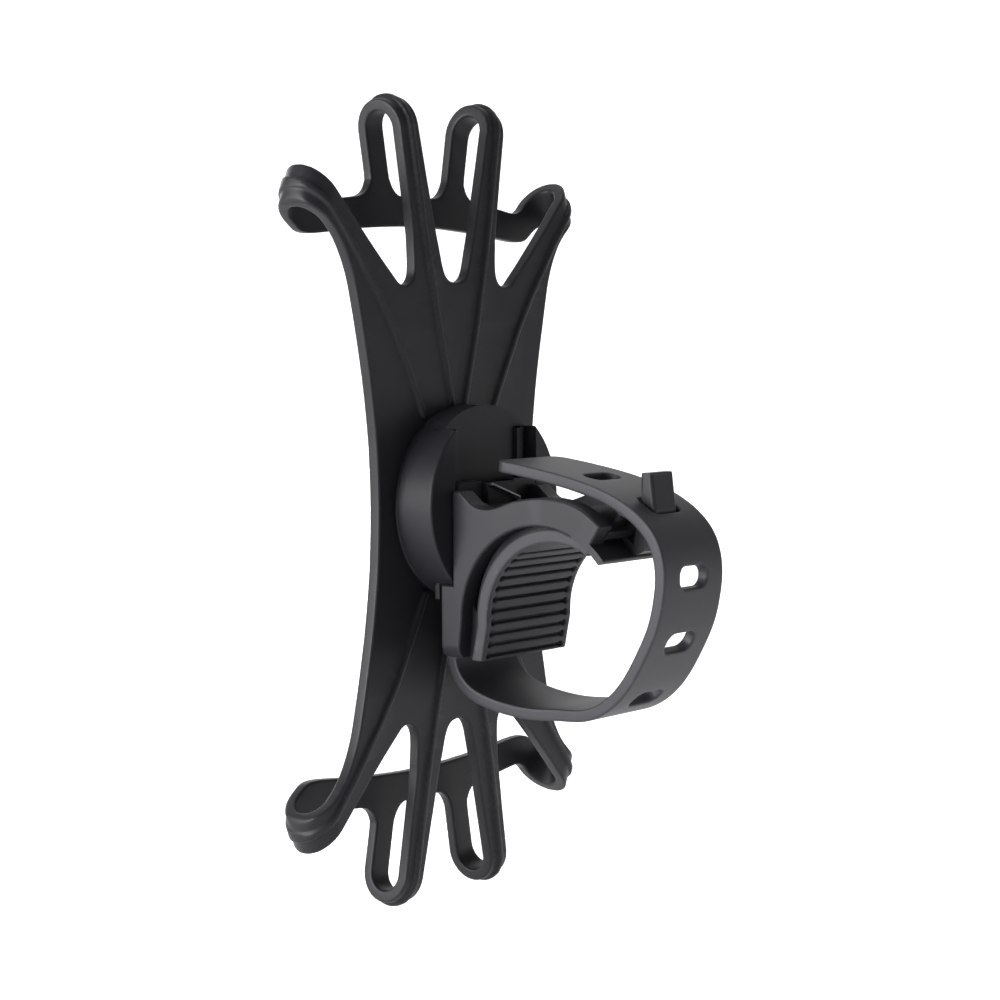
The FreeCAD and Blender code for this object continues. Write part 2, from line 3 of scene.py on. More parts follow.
import bpy
import numpy as np
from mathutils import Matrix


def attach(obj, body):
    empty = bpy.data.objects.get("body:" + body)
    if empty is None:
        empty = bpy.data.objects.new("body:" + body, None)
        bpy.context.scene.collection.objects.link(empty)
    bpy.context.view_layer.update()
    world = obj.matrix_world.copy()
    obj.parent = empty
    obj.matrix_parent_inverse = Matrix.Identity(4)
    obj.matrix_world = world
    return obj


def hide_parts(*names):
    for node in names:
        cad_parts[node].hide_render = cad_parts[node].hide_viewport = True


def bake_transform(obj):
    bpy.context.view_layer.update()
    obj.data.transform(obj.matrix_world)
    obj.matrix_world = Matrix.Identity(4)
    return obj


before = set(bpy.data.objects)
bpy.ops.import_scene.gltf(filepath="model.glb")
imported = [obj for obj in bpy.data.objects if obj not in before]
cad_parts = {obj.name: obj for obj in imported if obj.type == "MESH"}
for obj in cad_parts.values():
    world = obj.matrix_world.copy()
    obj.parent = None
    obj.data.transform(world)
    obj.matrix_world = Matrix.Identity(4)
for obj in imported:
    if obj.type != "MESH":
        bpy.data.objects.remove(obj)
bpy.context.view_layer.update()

import openvdb
from mathutils import Matrix, Vector

MM = 0.001
BAR_Y, BAR_Z = 33.2, -21.3            # handlebar axis behind and below the cradle's middle


def to_frame(p):
    """mm about the cradle's middle -> metres about the handlebar's axis."""
    p = np.asarray(p, float)
    return (p - np.array([0.0, BAR_Y, BAR_Z])) * MM


def smooth(t):
    t = np.clip(t, 0.0, 1.0)
    return t * t * (3 - 2 * t)


def smax(a, b, k):
    h = np.clip(0.5 - 0.5 * (b - a) / k, 0.0, 1.0)
    return b * (1 - h) + a * h + k * h * (1 - h)


# ------------------------------------------------------------------ camera
cam_data = bpy.data.cameras.new("camera")
cam = bpy.data.objects.new("camera", cam_data)
bpy.context.scene.collection.objects.link(cam)
bpy.context.scene.camera = cam
cam_data.sensor_width = 36.0
F_PX = 2283.27                        # focal length in widths of a 1000-wide picture
cam_data.lens = F_PX / 1000.0 * 36.0
cam_data.clip_start = 0.01
cam_data.clip_end = 30.0


def aim_camera():
    az, el, roll, dist = math.radians(50.58), math.radians(4.15), math.radians(-0.25), 464.51
    aim = Vector((-11.98, 0.0, -0.28))
    out = Vector((math.sin(az) * math.cos(el), math.cos(az) * math.cos(el), math.sin(el)))
    pos = aim + out * dist
    f = -out
    r = f.cross(Vector((0, 0, 1))).normalized()
    u = r.cross(f)
    r, u = r * math.cos(roll) + u * math.sin(roll), -r * math.sin(roll) + u * math.cos(roll)
    m = Matrix((r, u, -f)).transposed().to_4x4()
    m.translation = Vector(to_frame(pos))
    cam.matrix_world = m


aim_camera()

# ------------------------------------------------------------------ meshes from numbers
def new_mesh(name, verts, faces, slot=None, smooth_shade=True):
    me = bpy.data.meshes.new(name)
    v = np.asarray(verts, np.float32)
    me.vertices.add(len(v))
    me.vertices.foreach_set("co", v.ravel())
    if isinstance(faces, np.ndarray):
        k = faces.shape[1]
        me.loops.add(faces.size)
        me.loops.foreach_set("vertex_index", faces.astype(np.int32).ravel())
        me.polygons.add(len(faces))
        me.polygons.foreach_set("loop_start", (np.arange(len(faces)) * k).astype(np.int32))
    else:
        flat = [i for f in faces for i in f]
        starts = np.cumsum([0] + [len(f) for f in faces[:-1]])
        me.loops.add(len(flat))
        me.loops.foreach_set("vertex_index", flat)
        me.polygons.add(len(faces))
        me.polygons.foreach_set("loop_start", starts.astype(np.int32))
    me.polygons.foreach_set("use_smooth", [smooth_shade] * len(me.polygons))
    me.update(calc_edges=True)
    me.validate()
    o = bpy.data.objects.new(name, me)
    bpy.context.scene.collection.objects.link(o)
    return o


def apply_modifiers(o):
    dg = bpy.context.evaluated_depsgraph_get()
    me = bpy.data.meshes.new_from_object(o.evaluated_get(dg))
    old = o.data
    o.modifiers.clear()
    o.data = me
    bpy.data.meshes.remove(old)
    return o


def poly_sd(X, Z, pts, skip=()):
    """Signed distance to a closed outline, negative inside."""
    pts = [tuple(p) for p in pts]
    n = len(pts)
    d = np.full(X.shape, 1e9)
    inside = np.zeros(X.shape, bool)
    for i in range(n):
        (ax, az), (bx, bz) = pts[i], pts[(i + 1) % n]
        ex, ez = bx - ax, bz - az
        if abs(ez) > 1e-12:
            inside ^= ((az > Z) != (bz > Z)) & (X < ax + (Z - az) * ex / ez)
        if i in skip or ex * ex + ez * ez < 1e-12:
            continue
        t = np.clip(((X - ax) * ex + (Z - az) * ez) / (ex * ex + ez * ez), 0, 1)
        d = np.minimum(d, np.hypot(X - ax - t * ex, Z - az - t * ez))
    return np.where(inside, -d, d)


def line_dist(X, Z, pts):
    """Distance to an open chain of points, and how far along the chain the nearest point lies."""
    d = np.full(X.shape, 1e9)
    for (ax, az), (bx, bz) in zip(pts[:-1], pts[1:]):
        ex, ez = bx - ax, bz - az
        t = np.clip(((X - ax) * ex + (Z - az) * ez) / (ex * ex + ez * ez), 0, 1)
        d = np.minimum(d, np.hypot(X - ax - t * ex, Z - az - t * ez))
    return d


def catmull(pts, n=6):
    p = np.array(pts, float)
    p = np.vstack([2 * p[0] - p[1], p, 2 * p[-1] - p[-2]])
    out = []
    for i in range(1, len(p) - 2):
        for k in range(n):
            t = k / n
            a, b, c, d = p[i - 1], p[i], p[i + 1], p[i + 2]
            out.append(0.5 * (2 * b + (c - a) * t + (2 * a - 5 * b + 4 * c - d) * t * t
                              + (3 * b - a - 3 * c + d) * t ** 3))
    out.append(p[-2])
    return [tuple(q) for q in out]


# ------------------------------------------------------------------ elastic cradle
SHEET_Y, SHEET_T = -0.9, 2.5          # back of the sheet and its thickness
LOOP_D, BAR_T = 12.8, 2.2             # how far the front bars stand forward, and their thickness
R_OUT = (LOOP_D + SHEET_Y) / 2        # outside of the folds
Y_MID = (SHEET_Y - LOOP_D) / 2
BOSS_R = 18.6
FN = (0.1685, 0.9857)                 # way the finger loops point
FA = (13.02, 73.49)                   # where they start to fold over
CN = (0.940, 0.342)                   # same for the corner loops
CA = (40.0 - CN[0] * 5.95, 61.5 - CN[1] * 5.95)

outer_edge = catmull([(23.6, -6.8), (23.4, 0.0), (23.6, 6.8), (24.1, 14.2), (25.65, 25.4), (28.4, 39.05),
                      (30.0, 45.2), (32.4, 50.3), (35.2, 53.9), (39.4, 57.3), (43.1, 60.4)])
gap_side = catmull([(41.0, 67.0), (38.3, 65.1), (33.9, 60.75), (30.3, 56.8), (26.6, 52.9), (22.3, 48.5), (18.4, 44.7),
                    (16.8, 43.3), (15.1, 42.9), (13.6, 43.4), (12.6, 44.8), (12.3, 47.0), (12.45, 51.0),
                    (12.8, 55.0), (15.63, 73.04)])
gap_mid = catmull([(10.41, 73.94), (6.2, 55.4), (4.9, 50.4), (3.75, 46.2), (2.7, 44.5), (1.4, 43.8),
                   (0.0, 43.65), (-1.4, 43.8)])
BACK = [(-1.0, -6.8)] + outer_edge + [(44.5, 62.4), (44.0, 70.5)] + gap_side + [(17.3, 82.9), (12.1, 83.8)] \
    + [p for p in gap_mid if p[0] >= -0.9] + [(-1.0, 43.7)]
bar_low = catmull([(-6.0, 54.75), (0.0, 54.85), (6.0, 54.75), (13.2, 54.35), (19.4, 53.9), (26.6, 53.05),
                   (30.8, 52.7), (33.6, 52.95), (35.6, 54.2), (39.4, 57.3), (43.1, 60.4)])
bar_up = catmull([(41.0, 67.0), (38.3, 65.1), (34.2, 61.05), (32.6, 59.5), (30.9, 58.75), (28.6, 58.9), (25.7, 59.35),
                  (20.7, 60.0), (17.8, 60.35), (16.2, 60.9), (15.0, 61.9), (14.3, 63.3), (14.2, 64.9),
                  (15.63, 73.04)])
bar_in = catmull([(10.41, 73.94), (8.95, 65.4), (8.45, 63.7), (7.55, 62.2), (6.35, 61.2), (4.9, 60.8),
                  (2.5, 60.78), (0.0, 60.78), (-2.5, 60.78)])
FRONT = [p for p in bar_low if p[0] >= -1.0] + [(44.5, 62.4), (44.0, 70.5)] + bar_up + [(17.3, 82.9), (12.1, 83.8)] \
    + [p for p in bar_in if p[0] >= -1.0]
RIBS = [[(14.45, 81.9), (13.02, 73.5), (9.9, 55.0), (8.4, 47.3), (7.2, 41.7), (5.3, 33.1), (4.2, 28.8), (1.6, 18.6)],
        [(43.5, 62.9), (39.9, 61.5), (35.9, 57.7), (31.3, 52.1), (23.55, 41.5), (19.05, 34.6), (12.4, 21.8), (10.4, 17.6)]]


def cradle_field(h):
    xs = np.arange(0, 41.6, h)
    zs = np.arange(0, 81.8, h)
    ys = np.arange(-14.6, 1.1, h)
    X, Z = np.meshgrid(xs, zs, indexing="ij")
    n = len(BACK)
    d_back = poly_sd(X, Z, BACK, skip=(0, n - 1))
    d_front = poly_sd(X, Z, FRONT, skip=(len(FRONT) - 1,))
    s_f = (X - FA[0]) * FN[0] + (Z - FA[1]) * FN[1]
    s_c = (X - CA[0]) * CN[0] + (Z - CA[1]) * CN[1]
    rad = np.hypot(X, Z)
    # raised band on the outside of the loops and of the front bar; ribs on the back
    in_f = -d_front - 2.1
    rib = np.minimum(line_dist(X, Z, RIBS[0]), line_dist(X, Z, RIBS[1]))
    in_b = 0.62 - rib
    high_b = 0.70 * smooth((rad - 17.6) / 2.6) + 0.1 * smooth((Z - 40) / 14) - 0.16 * smooth((X - 26) / 10)
    # grooves on the phone's side
    ang = np.degrees(np.arctan2(X, Z))
    off = np.radians(ang - 9.0 * np.round(ang / 9.0))
    across = rad * np.abs(np.sin(off))
    groove = 0.6 * np.clip(1 - (across / 0.46) ** 2, 0, 1) * smooth((rad - 13.1) / 0.6)
    groove = groove * smooth((-s_f - 1.5) / 5.0) * smooth((-s_c - 0.5) / 5.0) * smooth((-d_back - 0.25) / 0.6)
    e = lambda a: a[:, None, :]
    Y = ys[None, :, None]
    # the loops lean towards the phone and narrow a little at their tips
    u = np.clip((zs - 36.0) / 44.0, 0, 1.1)[None, None, :]
    yl = Y + 0.45 * u
    yl = Y_MID + (yl - Y_MID) / (1 - 0.045 * u)
    H, K, S = 0.72, 0.40, 0.26
    low = e(1 - 0.3 * smooth((X - 26) / 10))
    w = smooth((yl - Y_MID) / (2 * R_OUT) + 0.5)
    band_b = smooth(e(in_b) / S + 0.5) * e(high_b)
    band_f = smooth(e(in_f) / S + 0.5) * H * low
    # flat parts: sheet at the back, bar in front
    t_b = yl - SHEET_Y
    lay_b = smax(t_b - band_b, -t_b - SHEET_T + e(groove), 0.2)
    t_f = -(yl + LOOP_D)
    lay_f = smax(t_f - band_f, -t_f - BAR_T, 0.2)
    # inside the fold zones the cut at s = 0 must not round the edge
    near = e(((s_f > -1.2) & (X < 22)) | ((s_c > -1.2) & (X > 22)))
    cut = np.maximum(s_f, s_c)
    flat_b = np.where(near, smax(e(d_back), lay_b, K), smax(e(np.maximum(d_back, cut)), lay_b, K))
    flat_f = np.where(near, smax(e(d_front), lay_f, K), smax(e(np.maximum(d_front, cut)), lay_f, K))
    d = np.minimum(flat_b, flat_f)
    d2 = e(d_front) * (1 - w) + e(d_back) * w
    band = smooth((e(in_f) * (1 - w) + e(in_b) * w) / S + 0.5) * (H * low * (1 - w) + e(high_b) * w)
    thick = BAR_T * (1 - w) + SHEET_T * w
    for s, side in ((s_f, X < 22), (s_c, X > 22)):
        t = np.hypot(np.maximum(e(s), 0), yl - Y_MID) - R_OUT
        lay = smax(t - band, -t - thick, 0.2)
        d = np.where(e((s > 0) & side), smax(d2, lay, K), d)
    d = smax(d, e(X) - 40.4, 0.8)
    # raised ring against the hub
    boss = smax(e(rad) - BOSS_R, smax(Y, -Y - 2.4, 0.2), 0.25)
    d = -smax(-d, -boss, 0.5)
    # seat of the middle disc and, behind it, of the moulded-in flange
    d = smax(d, 10.14 - e(rad) + 0 * Y, 0.15)
    d = np.maximum(d, np.minimum(13.34 - e(rad), Y + 1.19))
    return xs, ys, zs, d.astype(np.float32)


def sample(F, p):
    """Trilinear value of F at grid coordinates p."""
    i = np.clip(np.floor(p).astype(int), 0, np.array(F.shape) - 2)
    f = p - i
    out = 0
    for a in (0, 1):
        for b in (0, 1):
            for c in (0, 1):
                w = ((f[:, 0] if a else 1 - f[:, 0]) * (f[:, 1] if b else 1 - f[:, 1])
                     * (f[:, 2] if c else 1 - f[:, 2]))
                out = out + w * F[i[:, 0] + a, i[:, 1] + b, i[:, 2] + c]
    return out


def skin(F, origin, h, project=2):
    """Closed surface of the zero level of F, in mm."""
    g = openvdb.FloatGrid(5.0)
    g.copyFromArray(np.ascontiguousarray(F, np.float32))
    pts, tris, quads = g.convertToPolygons(isovalue=0.0, adaptivity=0.0)
    p = np.array(pts, float)
    for _ in range(project):
        v = sample(F, p)
        e = 0.35
        gr = np.stack([(sample(F, p + np.eye(3)[k] * e) - sample(F, p - np.eye(3)[k] * e)) / (2 * e)
                       for k in range(3)], 1)
        g2 = np.maximum((gr ** 2).sum(1), 0.2 * float(np.min(h)) ** 2)
        move = gr * (v / g2)[:, None]
        ln = np.linalg.norm(move, axis=1)
        move *= np.minimum(1, 0.5 / np.maximum(ln, 1e-9))[:, None]
        p = p - move * 0.8
    q = np.array(quads)
    v = p * h + origin
    # make the faces point outwards
    a, b, c, dd = (v[q[:, k]] for k in range(4))
    vol = np.einsum("ij,ij->i", a, np.cross(b, c)).sum() + np.einsum("ij,ij->i", a, np.cross(c, dd)).sum()
    if vol < 0:
        q = q[:, ::-1]
    t = np.array(tris)
    if len(t) and vol < 0:
        t = t[:, ::-1]
    return v, q, t


def build_cradle():
    h = 0.25
    xs, ys, zs, A = cradle_field(h)
    full = np.concatenate([A[:0:-1], A], axis=0)
    full = np.concatenate([full[:, :, :0:-1], full], axis=2)
    origin = np.array([-xs[-1], ys[0], -zs[-1]])
    v, q, t = skin(full, origin, h)
    o = new_mesh("cradle_skin", to_frame(v), q)
    m = o.modifiers.new("lighter", "DECIMATE")
    m.ratio = 0.42
    apply_modifiers(o)
    o.data.polygons.foreach_set("use_smooth", [True] * len(o.data.polygons))
    return o


cradle = build_cradle()
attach(cradle, "cradle")
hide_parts("silicone_cradle")


# ------------------------------------------------------------------ strap
STRAP_T, STRAP_HALF, PAD_RI, PAD_RO = 2.3, 9.5, 15.9, 18.4
STRAP_OUT = [(3.9, -22.3), (3.9, -25.5), (3.9, -28.6), (4.35, -31.6), (5.7, -34.3), (8.6, -36.9),
             (13.2, -38.7), (18.9, -39.7), (25.7, -40.0), (31.4, -39.6), (37.5, -38.1), (42.8, -35.4),
             (47.6, -31.5), (51.7, -26.2), (54.3, -20.8), (55.7, -15.3), (56.1, -10.8), (55.6, -7.1),
             (54.3, -3.9), (51.9, -1.0), (48.4, 1.6), (44.2, 3.7), (38.9, 5.5), (32.5, 7.0),
             (25.9, 8.15), (19.2, 9.1), (16.4, 9.4)]
CLEAR_R = PAD_RI + STRAP_T + 0.12
for k, (y, z) in enumerate(STRAP_OUT):
    r = math.hypot(y - BAR_Y, z - BAR_Z)
    if r < CLEAR_R:
        STRAP_OUT[k] = (BAR_Y + (y - BAR_Y) * CLEAR_R / r, BAR_Z + (z - BAR_Z) * CLEAR_R / r)


class Curve:
    """Smooth curve through points, addressed by the length along it."""

    def __init__(self, pts):
        p = np.array(pts, float)
        u = np.concatenate([[0], np.cumsum(np.linalg.norm(np.diff(p, axis=0), axis=1))])
        n = len(p)
        A, B = np.zeros((n, n)), np.zeros((n, 2))
        h = np.diff(u)
        A[0, 0] = A[-1, -1] = 1
        for i in range(1, n - 1):
            A[i, i - 1], A[i, i], A[i, i + 1] = h[i - 1], 2 * (h[i - 1] + h[i]), h[i]
            B[i] = 6 * ((p[i + 1] - p[i]) / h[i] - (p[i] - p[i - 1]) / h[i - 1])
        M = np.linalg.solve(A, B)
        t = np.linspace(0, u[-1], 4001)
        k = np.clip(np.searchsorted(u, t) - 1, 0, n - 2)
        a, b, hk = (u[k + 1] - t)[:, None], (t - u[k])[:, None], h[k][:, None]
        q = (M[k] * a ** 3 + M[k + 1] * b ** 3) / (6 * hk) + (p[k] / hk - M[k] * hk / 6) * a \
            + (p[k + 1] / hk - M[k + 1] * hk / 6) * b
        self.q = q
        self.s = np.concatenate([[0], np.cumsum(np.linalg.norm(np.diff(q, axis=0), axis=1))])
        self.length = self.s[-1]
        d = np.gradient(q, self.s, axis=0)
        self.d = d / np.linalg.norm(d, axis=1)[:, None]

    def at(self, s):
        y = np.interp(s, self.s, self.q[:, 0])
        z = np.interp(s, self.s, self.q[:, 1])
        dy = np.interp(s, self.s, self.d[:, 0])
        dz = np.interp(s, self.s, self.d[:, 1])
        return y, z, dy, dz

    def nearest(self, y, z):
        return self.s[np.argmin(np.hypot(self.q[:, 0] - y, self.q[:, 1] - z))]


guide = Curve(STRAP_OUT)
S_OPEN, S_BEND, S_LIFT = guide.nearest(5.9, -34.6), guide.nearest(50.3, -29.0), guide.nearest(55.4, -5.0)


def rbox(a, b, ha, hb, r):
    qa, qb = np.abs(a) - ha + r, np.abs(b) - hb + r
    return np.hypot(np.maximum(qa, 0), np.maximum(qb, 0)) + np.minimum(np.maximum(qa, qb), 0) - r


def build_strap():
    """One strap, meshed flat and then bent along its guide; returned in three stretches."""
    h = 0.3
    L = guide.length
    ss = np.arange(-1.2, L + 1.2, h)
    xx = np.arange(-STRAP_HALF - 1.0, STRAP_HALF + 1.0 + h, h)
    tt = np.arange(-0.9, STRAP_T + 0.9, h * 0.8)
    hs = np.array([h, h, h * 0.8])
    S, X, Tt = np.meshgrid(ss, xx, tt, indexing="ij", sparse=True)
    plan = rbox(S - L / 2, X, L / 2, STRAP_HALF, 0.4)
    tail = rbox(S - (L - 20), X, 20.0, STRAP_HALF, 2.2)
    plan = np.where(S > L - 10, tail, plan)
    d = smax(plan + 0 * Tt, np.abs(Tt - STRAP_T / 2) - STRAP_T / 2, 0.36)
    for y, z in ((45.0, -34.9), (53.4, -24.2), (56.8, -11.4), (34.9, 6.4)):
        hole = rbox(S - guide.nearest(y, z), X, 2.12, 4.3, 1.95)
        d = smax(d, -(hole + 0 * Tt), 0.45)
    hook_s = guide.nearest(48.1, 1.85)
    hole = rbox(S - (hook_s - 0.72 * Tt), X + 0 * Tt, 2.6, 4.3, 1.2)
    d = smax(d, -hole, 0.45)
    v, q, t = skin(d.astype(np.float32), np.array([ss[0], xx[0], tt[0]]), hs)
    cuts = [-5.0, (S_OPEN + S_BEND) / 2 - 2.0, (S_BEND + S_LIFT) / 2, L + 5.0]
    pieces = []
    import bmesh
    for i, name in enumerate(("strap_low_band", "strap_front_band", "strap_tail_band")):
        o = new_mesh(name, v, q)
        bm = bmesh.new()
        bm.from_mesh(o.data)
        for s0, sign in ((cuts[i], -1), (cuts[i + 1], 1)):
            geom = bm.verts[:] + bm.edges[:] + bm.faces[:]
            r = bmesh.ops.bisect_plane(bm, geom=geom, plane_co=(s0, 0, 0), plane_no=(sign, 0, 0),
                                       clear_outer=True)
            rim = [e for e in r["geom_cut"] if isinstance(e, bmesh.types.BMEdge)]
            if rim:
                bmesh.ops.edgeloop_fill(bm, edges=rim)
                for e in rim:
                    e.smooth = False
        for f in bm.faces:
            f.smooth = True
        bm.to_mesh(o.data)
        bm.free()
        n = len(o.data.vertices)
        co = np.empty(n * 3, np.float32)
        o.data.vertices.foreach_get("co", co)
        co = co.reshape(-1, 3).astype(float)
        y, z, dy, dz = guide.at(np.clip(co[:, 0], 0, L))
        over = co[:, 0] - np.clip(co[:, 0], 0, L)
        y, z = y + over * dy, z + over * dz
        P = np.stack([co[:, 1], y - dz * co[:, 2], z + dy * co[:, 2]], 1)
        o.data.vertices.foreach_set("co", to_frame(P).astype(np.float32).ravel())
        o.data.update()
        pieces.append(o)
    # bending may turn the faces inside out: make them point outwards
    for o in pieces:
        bm = bmesh.new()
        bm.from_mesh(o.data)
        bmesh.ops.recalc_face_normals(bm, faces=bm.faces)
        bm.to_mesh(o.data)
        bm.free()
    return pieces


band_low, band_front, band_tail = build_strap()
for o, a, b, s, nodes in ((band_low, "clamp", "strap_a", S_OPEN, ("strap_root", "strap_lower")),
                          (band_front, "strap_a", "strap_b", S_BEND, ("strap_front",)),
                          (band_tail, "strap_b", "strap_c", S_LIFT, ("strap_tail",))):
    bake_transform(o)
    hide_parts(*nodes)


# ------------------------------------------------------------------ pad under the handlebar
def at(cy, cz, r, a):
    return (cy + r * math.cos(math.radians(a)), cz + r * math.sin(math.radians(a)))


def build_pad():
    h = 0.24
    WY, WZ, WR = 30.3, -21.3, 18.8
    inner = [at(BAR_Y, BAR_Z, PAD_RI, a) for a in np.arange(60, 183.1, 1.5)]
    outer = [at(BAR_Y, BAR_Z, PAD_RO - 0.02, a) for a in np.arange(183, 86.5, -1.5)]
    ux, uz = math.cos(math.radians(60)), math.sin(math.radians(60))
    dy = BAR_Y - WY
    te = -dy * ux + math.sqrt((dy * ux) ** 2 - dy * dy + (WR - 0.03) ** 2)
    p1 = (BAR_Y + te * ux, BAR_Z + te * uz)
    a1 = math.degrees(math.atan2(p1[1] - WZ, p1[0] - WY))
    a0 = math.degrees(math.atan2(outer[-1][1] - WZ, outer[-1][0] - WY))
    r0 = math.hypot(outer[-1][1] - WZ, outer[-1][0] - WY)
    link = [at(WY, WZ, r0 + (WR - 0.03 - r0) * k / 12, a0 + (a1 - a0) * k / 12) for k in range(1, 13)]
    low_i, low_o = (15.9, -29.2), (13.35, -29.2)
    prof = inner + [low_i, low_o] + outer + link
    ys = np.arange(12.4, 43.5, h)
    zs = np.arange(-30.2, -1.6, h)
    xs = np.arange(0, 14.2, h)
    Y, Z = np.meshgrid(ys, zs, indexing="ij")
    d2 = poly_sd(Y, Z, prof)
    face = Curve([at(BAR_Y, BAR_Z, PAD_RI, a) for a in np.arange(122, 183.1, 4)] + [low_i])
    groove = np.full(Y.shape, 1e9)
    for k in range(11):
        s = face.length * (k + 0.35) / 10.75
        y, z, dy2, dz2 = face.at(s)
        for deep in (0.05, 0.4, 0.75):
            groove = np.minimum(groove, np.hypot(Y - (y + deep * dz2), Z - (z - deep * dy2)))
    X3 = xs[:, None, None]
    d = smax(d2[None] + 0 * X3, X3 - 13.2, 0.45)
    cutter = np.minimum(np.hypot(np.maximum(X3 - 11.2, 0), groove[None]) - 0.35,
                        np.hypot(X3 - 11.2, groove[None]) - 0.68)      # each groove ends in a round pit
    d = smax(d, -cutter, 0.2)
    full = np.concatenate([d[:0:-1], d], axis=0)
    v, q, t = skin(full.astype(np.float32), np.array([-xs[-1], ys[0], zs[0]]), np.array([h, h, h]))
    o = new_mesh("pad_skin", to_frame(v), q)
    m = o.modifiers.new("lighter", "DECIMATE")
    m.ratio = 0.45
    apply_modifiers(o)
    o.data.polygons.foreach_set("use_smooth", [True] * len(o.data.polygons))
    return o


pad = build_pad()
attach(pad, "clamp")
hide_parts("rubber_pad")


# ------------------------------------------------------------------ sprung leaf of the latch
def build_leaf():
    """The leaf's own shape with cross cuts."""
    import bmesh
    bm = bmesh.new()
    bm.from_mesh(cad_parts["latch_leaf"].data)
    for z in np.arange(-19.6, -3.0, 0.7):
        geom = bm.verts[:] + bm.edges[:] + bm.faces[:]
        bmesh.ops.bisect_plane(bm, geom=geom, plane_co=tuple(to_frame([0, 0, z])), plane_no=(0, 0, 1))
    me = bpy.data.meshes.new("latch_leaf_spring")
    bm.to_mesh(me)
    bm.free()
    o = bpy.data.objects.new("latch_leaf_spring", me)
    bpy.context.scene.collection.objects.link(o)
    return o


leaf = build_leaf()
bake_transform(leaf)
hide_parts("latch_leaf")


# ------------------------------------------------------------------ materials
def moulded(name, colour, rough, grain=900.0, bump=0.12, vary=0.12, edge_wear_and_highlight=0.25, spec=0.5, metal=0.0,
            coat=0.0, sheen=0.0):
    """Moulded plastic or rubber: slight mottling, a fine grain and edges painted paler, partly as rubbed wear and
    partly as a painted highlight.
    """
    m = bpy.data.materials.new(name)
    m.use_nodes = True
    nt = m.node_tree
    n, l = nt.nodes, nt.links
    b = n["Principled BSDF"]
    tc = n.new("ShaderNodeTexCoord")
    big = n.new("ShaderNodeTexNoise")
    big.inputs["Scale"].default_value = 60.0
    big.inputs["Detail"].default_value = 5.0
    big.inputs["Roughness"].default_value = 0.6
    fine = n.new("ShaderNodeTexNoise")
    fine.inputs["Scale"].default_value = grain
    fine.inputs["Detail"].default_value = 3.0
    for t in (big, fine):
        l.new(tc.outputs["Object"], t.inputs["Vector"])
    ramp = n.new("ShaderNodeValToRGB")
    lo = [c * (1 - vary) for c in colour]
    hi = [min(1, c * (1 + vary)) for c in colour]
    ramp.color_ramp.elements[0].position, ramp.color_ramp.elements[1].position = 0.3, 0.7
    ramp.color_ramp.elements[0].color = (*lo, 1)
    ramp.color_ramp.elements[1].color = (*hi, 1)
    l.new(big.outputs["Fac"], ramp.inputs["Fac"])
    # edges are painted paler where Pointiness is high: partly rubbed wear, partly a painted highlight standing in for
    # glints on small rounded edges
    geo = n.new("ShaderNodeNewGeometry")
    edge = n.new("ShaderNodeValToRGB")
    edge.color_ramp.elements[0].position, edge.color_ramp.elements[1].position = 0.53, 0.62
    edge.color_ramp.elements[0].color = (0, 0, 0, 1)
    edge.color_ramp.elements[1].color = (edge_wear_and_highlight, edge_wear_and_highlight, edge_wear_and_highlight, 1)
    l.new(geo.outputs["Pointiness"], edge.inputs["Fac"])
    mix = n.new("ShaderNodeMix")
    mix.data_type = "RGBA"
    l.new(edge.outputs["Color"], mix.inputs["Factor"])
    l.new(ramp.outputs["Color"], mix.inputs[6])
    mix.inputs[7].default_value = (*[min(1, c * 1.9 + 0.012) for c in colour], 1)
    l.new(mix.outputs[2], b.inputs["Base Color"])
    mr = n.new("ShaderNodeMapRange")
    mr.inputs["To Min"].default_value = max(0.02, rough - 0.06)
    mr.inputs["To Max"].default_value = min(1, rough + 0.06)
    l.new(big.outputs["Fac"], mr.inputs["Value"])
    l.new(mr.outputs["Result"], b.inputs["Roughness"])
    bp = n.new("ShaderNodeBump")
    bp.inputs["Strength"].default_value = bump
    bp.inputs["Distance"].default_value = 0.0001
    l.new(fine.outputs["Fac"], bp.inputs["Height"])
    l.new(bp.outputs["Normal"], b.inputs["Normal"])
    b.inputs["Metallic"].default_value = metal
    b.inputs["Specular IOR Level"].default_value = spec
    b.inputs["Coat Weight"].default_value = coat
    b.inputs["Sheen Weight"].default_value = sheen
    b.inputs["Sheen Roughness"].default_value = 0.4
    return m


def paint(o, mat):
    o.data.materials.clear()
    o.data.materials.append(mat)


M_CRADLE = moulded("cradle silicone", (0.0088, 0.0086, 0.0112), 0.46, grain=1500, bump=0.08, spec=0.23)
M_CAP = moulded("cap plastic", (0.036, 0.036, 0.043), 0.55, grain=2500, bump=0.08, spec=0.3)
M_HUB = moulded("hub plastic", (0.0108, 0.0106, 0.0135), 0.46, grain=2200, bump=0.10, spec=0.17)
M_CLAMP = moulded("clamp plastic", (0.0138, 0.0136, 0.0170), 0.47, grain=2200, bump=0.12, spec=0.21)
M_HOOK = moulded("hook plastic", (0.0120, 0.0119, 0.0148), 0.44, grain=2200, bump=0.10, spec=0.20)
M_PAD = moulded("pad rubber", (0.0330, 0.0328, 0.0375), 0.60, grain=1800, bump=0.12, spec=0.25)
M_STRAP = moulded("strap silicone", (0.0235, 0.0232, 0.0285), 0.52, grain=1500, bump=0.10, spec=0.30)
M_INNER = moulded("inner plastic", (0.024, 0.024, 0.026), 0.5, spec=0.3)
M_RING = moulded("ring plastic", (0.6, 0.59, 0.55), 0.4, edge_wear_and_highlight=0.1)
M_STEEL = moulded("dark zinc steel", (0.30, 0.30, 0.32), 0.38, grain=700, bump=0.15, metal=1.0, edge_wear_and_highlight=0.4)
M_BRASS = moulded("turned brass", (0.72, 0.52, 0.24), 0.3, grain=700, bump=0.1, metal=1.0)
paint(cradle, M_CRADLE)
paint(pad, M_PAD)
paint(leaf, M_STEEL)
for o in (band_low, band_front, band_tail):
    paint(o, M_STRAP)
